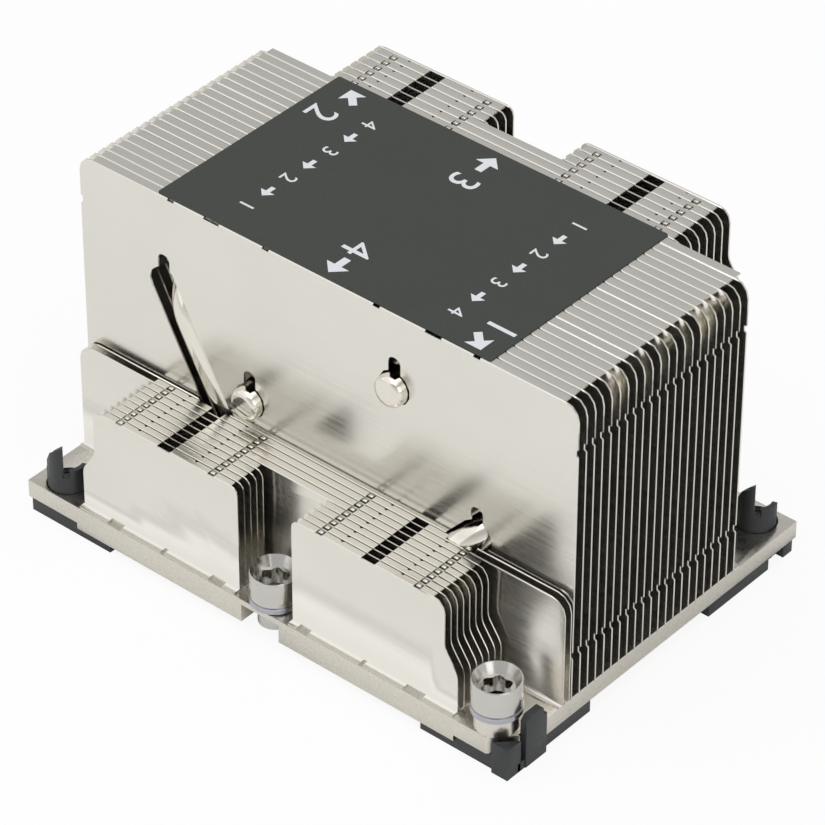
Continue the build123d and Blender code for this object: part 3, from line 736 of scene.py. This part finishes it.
def bent_tube(name, points, radius, bend, sides):
    """A tube along straight runs with round bends, extruded and spun from a disc."""
    runs = [(after - before).normalized() for before, after in zip(points, points[1:])]
    clear()
    bpy.ops.mesh.primitive_circle_add(vertices=sides, radius=radius, fill_type="NGON", location=points[0],
                                      rotation=runs[0].to_track_quat("Z", "Y").to_euler())
    tube = bpy.context.object
    tube.name = name
    settle(tube)
    bpy.ops.object.mode_set(mode="EDIT")
    bpy.ops.mesh.select_all(action="SELECT")
    here = points[0]
    for index, direction in enumerate(runs):
        last = index == len(runs) - 1
        turn = 0 if last else direction.angle(runs[index + 1])
        setback = 0 if last else bend * sin(turn / 2) / cos(turn / 2)
        stop = points[index + 1] - direction * setback
        bpy.ops.mesh.extrude_region_move(TRANSFORM_OT_translate={"value": stop - here})
        if last:
            break
        axis = direction.cross(runs[index + 1]).normalized()
        centre = stop + axis.cross(direction) * bend
        steps = max(BEND_STEPS, round(turn / BEND_STEP))
        # Spin turns against its axis
        bpy.ops.mesh.spin(steps=steps, angle=turn, center=centre, axis=-axis, use_normal_flip=False)
        here = points[index + 1] + runs[index + 1] * setback
    seal()
    return tube


class HEATSINK_OT_heat_pipes(bpy.types.Operator):
    """Makes the four bent heat pipes with their rounded ends"""

    bl_idname = "heatsink.heat_pipes"
    bl_label = "Heat pipes"

    def execute(self, context):
        values = settings("pipes")
        material = bright_nickel()
        for node in PIPES:
            low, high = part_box(node)
            outer = "outer" in node
            radius = values.radius
            upper_x, leg_x = low.x + radius, high.x - radius
            if "right" in node:
                upper_x, leg_x = leg_x, upper_x
            upper_z, leg_z = high.z - radius, low.z + radius
            end_y, riser_y = (high.y, low.y + radius) if outer else (low.y, high.y - radius)
            leg_end = values.leg_end if outer else -values.leg_end
            points = (Vector((upper_x, end_y, upper_z)), Vector((upper_x, riser_y, upper_z)),
                      Vector((leg_x, riser_y, leg_z)), Vector((leg_x, leg_end, leg_z)))
            name = node.replace("heat_pipe", "bent_heat_pipe")
            piece = bent_tube(name, points, radius, values.bend, values.sides)
            choose(piece, "EDGE", lambda a, b: abs(a.y - end_y) < NEAR and abs(b.y - end_y) < NEAR)
            bpy.ops.mesh.bevel(offset=values.end_round, segments=5, affect="EDGES")
            bpy.ops.object.mode_set(mode="OBJECT")
            shade(piece, angle=40)
            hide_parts(node)
            dress(piece, material)
        return {"FINISHED"}


class HEATSINK_OT_plate_and_carrier(bpy.types.Operator):
    """Finishes the base plate and the moulded carrier below it"""

    bl_idname = "heatsink.plate_and_carrier"
    bl_label = "Plate and carrier"

    def execute(self, context):
        values = settings("plate")
        plate = copy_of("base_plate", "milled_base_plate")
        self.break_edges(plate, values.edge)
        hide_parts("base_plate")
        dress(plate, satin_nickel())
        nylon = filled_nylon()
        carrier = copy_of("package_carrier", "moulded_carrier")
        self.shape_prongs(carrier)
        self.break_edges(carrier, values.moulded_edge)
        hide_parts("package_carrier")
        dress(carrier, nylon)
        self.sill("carrier_sill_left", -1, nylon, values.sill)
        self.sill("carrier_sill_right", 1, nylon, values.sill)
        return {"FINISHED"}

    def break_edges(self, piece, width):
        """Rounds all the sharp edges of a piece."""
        pick(piece)
        bevel = piece.modifiers.new("edges", "BEVEL")
        bevel.width = width
        bevel.segments = 2
        bevel.limit_method = "ANGLE"
        bevel.angle_limit = SHARP
        bpy.ops.object.modifier_apply(modifier=bevel.name)
        shade(piece, angle=30)

    def shape_prongs(self, carrier):
        """Slants the front prong of each collar and lowers the one beside it."""
        for collar_x in (-COLLAR_X, COLLAR_X):
            for start, stop, top, rise in PRONG_TOPS:
                move(carrier,
                     lambda corner: start < corner.x - collar_x < stop and abs(corner.z - top) < NEAR,
                     (0, 0, rise))

    def sill(self, name, side, material, height):
        """The low wall that joins a corner post to the blade beside it."""
        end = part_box("package_carrier")[1].x
        clear()
        bpy.ops.mesh.primitive_plane_add(size=1, location=(side * (end - SILL_FROM_END), -side * SILL_Y, 0))
        wall = bpy.context.object
        wall.name = name
        wall.dimensions = (SILL_DEPTH, SILL_LENGTH, 0)
        settle(wall)
        raise_up(wall, height)
        dress(wall, material)


class HEATSINK_OT_nuts(bpy.types.Operator):
    """Turns the four captive nuts and cuts their star-shaped recesses"""

    bl_idname = "heatsink.nuts"
    bl_label = "Captive nuts"

    def execute(self, context):
        values = settings("nuts")
        steel = turned_steel("turned_steel", values.steel)
        passivated = turned_steel("passivated_steel", values.ring)
        low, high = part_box(NUTS[0])
        axis = (low + high) / 2
        floor = high.z - values.bore_depth
        first = self.sleeve(axis, low.z, high.z, (high.x - low.x) / 2, values)
        boolean(first, self.star_bar(axis, floor, values))
        boolean(first, self.stud_bar(axis, low.z, floor, values))
        shade(first, angle=30)
        pieces = [first]
        for node in NUTS[1:]:
            copy = twin(first)
            put(copy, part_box(node)[0] - low)
            pieces.append(copy)
        for node, piece in zip(NUTS, pieces):
            piece.name = node.replace("nut", "captive_nut")
            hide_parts(node)
            dress(piece, steel, node + "_body")
            piece.data.materials.append(passivated)
            self.mark_ring(piece, node)
        return {"FINISHED"}

    def mark_ring(self, piece, node):
        """Gives the second material to the ring below the sleeve."""
        low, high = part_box(node)
        axis = (low + high) / 2
        for face in piece.data.polygons:
            depth = high.z - face.center.z
            out = hypot(face.center.x - axis.x, face.center.y - axis.y)
            if RING_TOP - NEAR < depth < RING_FOOT + NEAR and out > NECK + RING_EDGE:
                face.material_index = 1

    def sleeve(self, axis, low, rim, ring, values):
        """The nut without its recess, as a disc extruded upwards step by step."""
        clear()
        bpy.ops.mesh.primitive_circle_add(vertices=values.sides, radius=NECK, fill_type="NGON",
                                          location=(axis.x, axis.y, low))
        piece = bpy.context.object
        # Radius and depth below the rim of each step
        steps = (
            (NECK, RING_FOOT), (ring - RING_EDGE, RING_FOOT), (ring, RING_FOOT - RING_EDGE),
            (ring, RING_TOP + RING_EDGE), (ring - RING_EDGE, RING_TOP),
            (GROOVE, RING_TOP), (GROOVE, GROOVE_TOP), (SLEEVE, SLEEVE_FOOT),
            (SLEEVE, values.lip), *RIM_STEPS,
            (values.bore, 0), (values.floor, values.bore_depth),
        )
        bpy.ops.object.mode_set(mode="EDIT")
        bpy.ops.mesh.select_all(action="SELECT")
        wide, level = NECK, low
        for next_wide, depth in steps:
            next_level = rim - depth
            bpy.ops.mesh.extrude_region_move(TRANSFORM_OT_translate={"value": (0, 0, next_level - level)})
            grow = next_wide / wide
            bpy.ops.transform.resize(value=(grow, grow, 1), center_override=(axis.x, axis.y, next_level))
            wide, level = next_wide, next_level
        seal()
        settle(piece)
        return piece

    def star_bar(self, axis, floor, values):
        """A six-pointed star bar that cuts the drive recess."""
        middle = (axis.x, axis.y, floor + STAR_OVER)
        clear()
        bpy.ops.mesh.primitive_circle_add(vertices=2 * STAR_STEPS * STAR_POINTS, radius=values.star,
                                          fill_type="NGON", location=middle)
        bar = bpy.context.object
        settle(bar)
        for step in range(1, STAR_STEPS + 1):
            wave = (1 + cos(radians(180 * step / STAR_STEPS))) / 2
            share = (values.waist + (values.star - values.waist) * wave) / values.star
            choose(bar, "VERT", lambda corner: self.star_step(corner - axis) == step)
            bpy.ops.transform.resize(value=(share, share, 1), center_override=middle)
        raise_up(bar, -STAR_OVER - values.recess_depth)
        return bar

    def star_step(self, away):
        """How many of the bar's corners lie between one of them and the nearest point of the star."""
        between_points = 360 / STAR_POINTS
        turn = degrees(atan2(away.y, away.x)) % between_points
        nearest = min(turn, between_points - turn)
        return round(nearest / (between_points / (2 * STAR_STEPS)))

    def stud_bar(self, axis, low, floor, values):
        """A round bar that cuts the hole for the stud."""
        clear()
        bpy.ops.mesh.primitive_cylinder_add(vertices=values.sides, radius=values.stud_hole,
                                            depth=floor - low + 2 * STUD_OVER,
                                            location=(axis.x, axis.y, (floor + low) / 2))
        return bpy.context.object


class HEATSINK_OT_label(bpy.types.Operator):
    """Makes the label with its digits and arrows"""

    bl_idname = "heatsink.label"
    bl_label = "Label"

    def execute(self, context):
        values = settings("label")
        low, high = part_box("label")
        clear()
        bpy.ops.mesh.primitive_cube_add(size=1, location=(low + high) / 2)
        film = bpy.context.object
        film.name = "printed_label"
        film.dimensions = high - low
        settle(film)
        choose(film, "EDGE", lambda a, b: abs(a.z - b.z) > NEAR)
        bpy.ops.mesh.bevel(offset=values.corner, segments=4, affect="EDGES")
        bpy.ops.object.mode_set(mode="OBJECT")
        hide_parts("label")
        dress(film, matt_film())
        ink = white_ink()
        arrow = self.arrow(values.arrow, values.print_lift)
        small_arrow = self.arrow(values.small_arrow, values.print_lift)
        small_digits = {digit: self.digit(digit, values.small_digit, values.print_lift)
                        for digit, place in LARGE_DIGITS}
        for digit, place in LARGE_DIGITS:
            piece = self.digit(digit, values.digit, values.print_lift)
            self.lay(piece, "large_digit_" + digit, (*place, high.z), 0, ink)
        for number, place, facing in LARGE_ARROWS:
            self.lay(twin(arrow), "arrow_" + number, (*place, high.z), facing, ink)
        for name, digits, x in SMALL_ROWS:
            for index, digit in enumerate(digits):
                y = ROW_START + ROW_STEP * index
                piece = twin(small_digits[digit])
                self.lay(piece, f"{name}_row_digit_{digit}", (x, y, high.z), 0, ink)
                if index < len(digits) - 1:
                    piece = twin(small_arrow)
                    place = (x, y + ROW_STEP / 2, high.z)
                    self.lay(piece, f"{name}_row_arrow_{index + 1}", place, -90, ink)
        for pattern in (arrow, small_arrow, *small_digits.values()):
            bpy.data.objects.remove(pattern)
        return {"FINISHED"}

    def lay(self, piece, name, place, facing, ink):
        """Lays a printed digit or arrow on the film."""
        piece.name = name
        put(piece, place, facing)
        dress(piece, ink)

    def digit(self, digit, height, lift):
        """A printed digit at the origin, read along -Y."""
        clear()
        bpy.ops.object.text_add(location=(0, 0, 0), rotation=(0, 0, radians(-90)))
        text = bpy.context.object
        text.data.body = digit
        text.data.size = height / FONT_HEIGHT
        text.data.extrude = lift / 2
        pick(text)
        bpy.ops.object.convert(target="MESH")
        piece = bpy.context.object
        settle(piece)
        corners = [corner.co for corner in piece.data.vertices]
        left, right = min(corner.x for corner in corners), max(corner.x for corner in corners)
        near, far = min(corner.y for corner in corners), max(corner.y for corner in corners)
        grow = height / (right - left)
        piece.scale = (grow, grow, 1)
        put(piece, (-grow * (left + right) / 2, -grow * (near + far) / 2, lift / 2))
        return piece

    def arrow(self, size, lift):
        """A printed block arrow at the origin that faces +X, a shaft with a head on its end."""
        clear()
        shaft, head = SHAFT_SHARE * size, HEAD_SHARE * size
        bpy.ops.mesh.primitive_plane_add(size=1, location=(-head / 2, 0, 0))
        piece = bpy.context.object
        piece.dimensions = (size - head, shaft, 0)
        settle(piece)
        choose(piece, "EDGE", lambda a, b: a.x > -head / 2 and b.x > -head / 2)
        bpy.ops.mesh.extrude_edges_move(TRANSFORM_OT_translate={"value": (0, 0, 0)})
        bpy.ops.transform.resize(value=(1, 2 * head / shaft, 1), center_override=(0, 0, 0))
        bpy.ops.mesh.extrude_edges_move(TRANSFORM_OT_translate={"value": (head, 0, 0)})
        bpy.ops.mesh.merge(type="CENTER")
        seal()
        raise_up(piece, lift)
        return piece


def lamp(name, place, width, watts):
    """A soft square lamp that faces the part."""
    data = bpy.data.lights.new(name, "AREA")
    data.size = width
    data.energy = watts
    piece = bpy.data.objects.new(name, data)
    piece.location = place
    piece.rotation_euler = (Vector(LAMP_TARGET) - Vector(place)).to_track_quat("-Z", "Y").to_euler()
    bpy.context.scene.collection.objects.link(piece)


class HEATSINK_OT_stage(bpy.types.Operator):
    """Adds the floor, the studio light and the camera"""

    bl_idname = "heatsink.stage"
    bl_label = "Stage"

    def execute(self, context):
        values = settings("stage")
        scene = context.scene
        scene.view_settings.view_transform = "Standard"
        self.floor(values)
        self.world(scene)
        for name, place, width, setting in LAMPS:
            lamp(name, place, width, getattr(values, setting))
        self.camera(scene, values)
        return {"FINISHED"}

    def floor(self, values):
        """A pale floor, nearly white to the camera, that keeps the part's shadow."""
        clear()
        bpy.ops.mesh.primitive_plane_add(size=FLOOR_SIZE, location=(0, 0, 0))
        floor = bpy.context.object
        floor.name = "floor"
        material, tree, shader, place = new_material("painted_floor", values.floor, 0.0, 0.9)
        shader.inputs["Specular IOR Level"].default_value = 0.0
        rays = add_node(tree, "ShaderNodeLightPath").outputs
        seen = add_node(tree, "ShaderNodeMath", {"operation": "MULTIPLY"},
                        {0: rays["Is Camera Ray"], 1: FLOOR_WHITE})
        white = add_node(tree, "ShaderNodeEmission", None, {"Color": (1, 1, 1, 1), "Strength": 1.0})
        add_node(tree, "ShaderNodeMixShader", None,
                 {0: seen.outputs[0], 1: shader.outputs[0], 2: white.outputs[0]},
                 {0: tree.nodes["Material Output"].inputs["Surface"]})
        floor.data.materials.append(material)

    def world(self, scene):
        """A studio that is white to the camera and softly graded in reflections."""
        world = bpy.data.worlds.new("studio")
        scene.world = world
        world.use_nodes = True
        tree = world.node_tree
        rays = add_node(tree, "ShaderNodeLightPath").outputs
        direction = add_node(tree, "ShaderNodeTexCoord").outputs["Generated"]
        height = add_node(tree, "ShaderNodeSeparateXYZ", None, {"Vector": direction}).outputs["Z"]
        ramp = add_node(tree, "ShaderNodeValToRGB", None, {"Fac": height})
        stops = ramp.color_ramp.elements
        while len(stops) < len(STUDIO):
            stops.new(0.5)
        for stop, (position, tone) in zip(stops, STUDIO):
            stop.position, stop.color = position, tone
        background = tree.nodes["Background"]
        add_node(tree, "ShaderNodeMix", {"data_type": "RGBA"},
                 {0: rays["Is Camera Ray"], 6: ramp.outputs["Color"], 7: (1, 1, 1, 1)},
                 {2: background.inputs["Color"]})

    def camera(self, scene, values):
        """The camera at the photograph's angle."""
        azimuth, elevation = values.azimuth, values.elevation
        back = Vector((sin(azimuth) * cos(elevation), -cos(azimuth) * cos(elevation), sin(elevation)))
        level = Vector((cos(azimuth), sin(azimuth), 0))
        upright = back.cross(level)
        right = level * cos(values.roll) + upright * sin(values.roll)
        up = upright * cos(values.roll) - level * sin(values.roll)
        target = Vector(LOOK_AT) + right * LOOK_RIGHT + up * LOOK_UP
        data = bpy.data.cameras.new("camera")
        data.lens = values.lens
        data.sensor_width = SENSOR
        data.clip_start, data.clip_end = CLIP
        camera = bpy.data.objects.new("camera", data)
        turn = Matrix((right, up, back)).transposed().to_4x4()
        camera.matrix_world = Matrix.Translation(target + back * values.distance) @ turn
        scene.collection.objects.link(camera)
        scene.camera = camera


OPERATORS = (HEATSINK_OT_stage, HEATSINK_OT_tall_fins, HEATSINK_OT_short_fins, HEATSINK_OT_heat_pipes,
             HEATSINK_OT_plate_and_carrier, HEATSINK_OT_nuts, HEATSINK_OT_label)
GROUPS = {"fins": FinSettings, "pipes": PipeSettings, "plate": PlateSettings, "nuts": NutSettings,
          "label": LabelSettings, "stage": StageSettings}


class HEATSINK_PT_panel(bpy.types.Panel):
    """Lists the pieces of the heatsink"""

    bl_idname = "HEATSINK_PT_panel"
    bl_label = "Heatsink"
    bl_space_type = "VIEW_3D"
    bl_region_type = "UI"
    bl_category = "Heatsink"

    def draw(self, context):
        for operator in OPERATORS:
            self.layout.operator(operator.bl_idname)
        for name, group in GROUPS.items():
            box = self.layout.box()
            box.label(text=name.capitalize())
            for key in group.__annotations__:
                box.prop(settings(name), key)


def register():
    """Registers the settings, operators and panel."""
    for name, group in GROUPS.items():
        bpy.utils.register_class(group)
        setattr(bpy.types.Scene, "heatsink_" + name, bpy.props.PointerProperty(type=group))
    for item in (*OPERATORS, HEATSINK_PT_panel):
        bpy.utils.register_class(item)


def unregister():
    """Removes what register added."""
    for item in (*OPERATORS, HEATSINK_PT_panel):
        bpy.utils.unregister_class(item)
    for name, group in GROUPS.items():
        delattr(bpy.types.Scene, "heatsink_" + name)
        bpy.utils.unregister_class(group)


def main():
    """Builds the whole scene."""
    register()
    bpy.ops.heatsink.stage()
    bpy.ops.heatsink.tall_fins()
    bpy.ops.heatsink.short_fins()
    bpy.ops.heatsink.heat_pipes()
    bpy.ops.heatsink.plate_and_carrier()
    bpy.ops.heatsink.nuts()
    bpy.ops.heatsink.label()
    clear()


if __name__ == "__main__":
    main()
